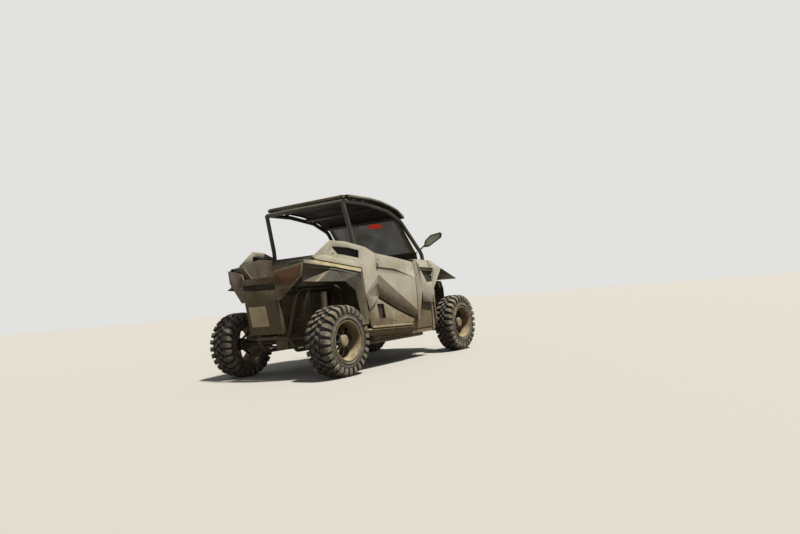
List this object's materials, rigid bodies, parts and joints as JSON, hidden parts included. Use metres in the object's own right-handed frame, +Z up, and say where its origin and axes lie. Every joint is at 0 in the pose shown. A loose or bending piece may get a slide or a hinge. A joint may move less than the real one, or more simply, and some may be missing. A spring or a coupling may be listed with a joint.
{
  "type": "side by side utv",
  "caption": "Side by side off-road utility vehicle with a tubular roll cage, hard roof, half doors, long-travel suspension and big mud tyres.",
  "frame": {"origin": "on the ground under the middle of the vehicle", "axes": "+Z up, -Y ahead, +X to the driver's side (the vehicle's left)"},
  "size_m": [1.828, 2.9828, 1.822],
  "materials": {
    "body_paint": "dusty satin",
    "black_plastic": "matt, dusty",
    "roof_plastic": "matt, dusty",
    "cage_paint": "satin black",
    "frame_paint": "satin black",
    "tyre_rubber": "matt, dusty",
    "rim_metal": "satin dark",
    "steel": "worn",
    "engine_metal": "rough cast",
    "spring_paint": "gloss black",
    "clear_pane": "clear",
    "lamp_red": "dusty gloss",
    "lamp_clear": "clear",
    "plate_white": "blank",
    "seat_vinyl": "satin",
    "rubber_grip": "matt"
  },
  "bodies": {
    "chassis": {"frame": "frame_paint", "front_arms": "frame_paint", "shocks": "spring_paint", "trailing_arms": "frame_paint", "radius_rods": "frame_paint", "engine": "engine_metal", "half_shafts": "steel", "front_gearcase": "engine_metal", "tub": "black_plastic", "roll_cage": "cage_paint", "roof": "roof_plastic", "windscreen": "clear_pane", "quarters": "body_paint", "rear_flares": "black_plastic", "sills": "black_plastic", "bed": "black_plastic", "tail_panel": "body_paint", "tail_lamps": "lamp_red", "plate_hanger": "black_plastic", "plate": "plate_white", "hood": "body_paint", "fenders": "body_paint", "nose": "body_paint", "grille": "black_plastic", "headlamps": "lamp_clear", "dash": "black_plastic", "steering_column": "steel", "seat_shells": "black_plastic", "seat_cushions": "seat_vinyl", "seat_backs": "seat_vinyl", "mirrors": "black_plastic", "exhaust": "steel"},
    "door_left": {"door_left": "body_paint"},
    "door_right": {"door_right": "body_paint"},
    "knuckle_left": {"knuckle_left": "steel"},
    "knuckle_right": {"knuckle_right": "steel"},
    "rack": {"rack": "steel"},
    "steering_wheel": {"steering_wheel": "rubber_grip"},
    "wheel_rear_left": {"tyre_rear_left": "tyre_rubber", "rim_rear_left": "rim_metal"},
    "wheel_rear_right": {"tyre_rear_right": "tyre_rubber", "rim_rear_right": "rim_metal"},
    "wheel_front_left": {"tyre_front_left": "tyre_rubber", "rim_front_left": "rim_metal"},
    "wheel_front_right": {"tyre_front_right": "tyre_rubber", "rim_front_right": "rim_metal"}
  },
  "joints": [
    {"name": "steer_left", "type": "hinge", "parent": "chassis", "child": "knuckle_left", "pos_m": [0.612, -1.145, 0.343], "axis": [0, 0, 1], "range_deg": [-28, 28]},
    {"name": "steer_right", "type": "hinge", "parent": "chassis", "child": "knuckle_right", "pos_m": [-0.612, -1.145, 0.343], "axis": [0, 0, 1], "range_deg": [-28, 28]},
    {"name": "rack_slide", "type": "slide", "parent": "chassis", "child": "rack", "axis": [1, 0, 0], "range_m": [-0.0545, 0.0545]},
    {"name": "steering_wheel_turn", "type": "hinge", "parent": "chassis", "child": "steering_wheel", "pos_m": [0.32, -0.19, 1], "axis": [0, 0.8829, 0.4695], "range_deg": [-226, 226]},
    {"name": "door_left_hinge", "type": "hinge", "parent": "chassis", "child": "door_left", "pos_m": [0.757, 0.512, 0.95], "axis": [0, 0, 1], "range_deg": [0, 68]},
    {"name": "door_right_hinge", "type": "hinge", "parent": "chassis", "child": "door_right", "pos_m": [-0.757, 0.512, 0.95], "axis": [0, 0, -1], "range_deg": [0, 68]},
    {"name": "wheel_rear_left_spin", "type": "hinge", "parent": "chassis", "child": "wheel_rear_left", "pos_m": [0.67, 1.145, 0.343], "axis": [1, 0, 0], "continuous": true},
    {"name": "wheel_rear_right_spin", "type": "hinge", "parent": "chassis", "child": "wheel_rear_right", "pos_m": [-0.67, 1.145, 0.343], "axis": [1, 0, 0], "continuous": true},
    {"name": "wheel_front_left_spin", "type": "hinge", "parent": "knuckle_left", "child": "wheel_front_left", "pos_m": [0.67, -1.145, 0.343], "axis": [1, 0, 0], "continuous": true},
    {"name": "wheel_front_right_spin", "type": "hinge", "parent": "knuckle_right", "child": "wheel_front_right", "pos_m": [-0.67, -1.145, 0.343], "axis": [1, 0, 0], "continuous": true}
  ],
  "couplings": [
    {"joint": "steer_right", "follows": "steer_left", "ratio": 1},
    {"joint": "rack_slide", "follows": "steer_left", "m_per_rad": -0.11},
    {"joint": "steering_wheel_turn", "follows": "steer_left", "ratio": 8}
  ]
}
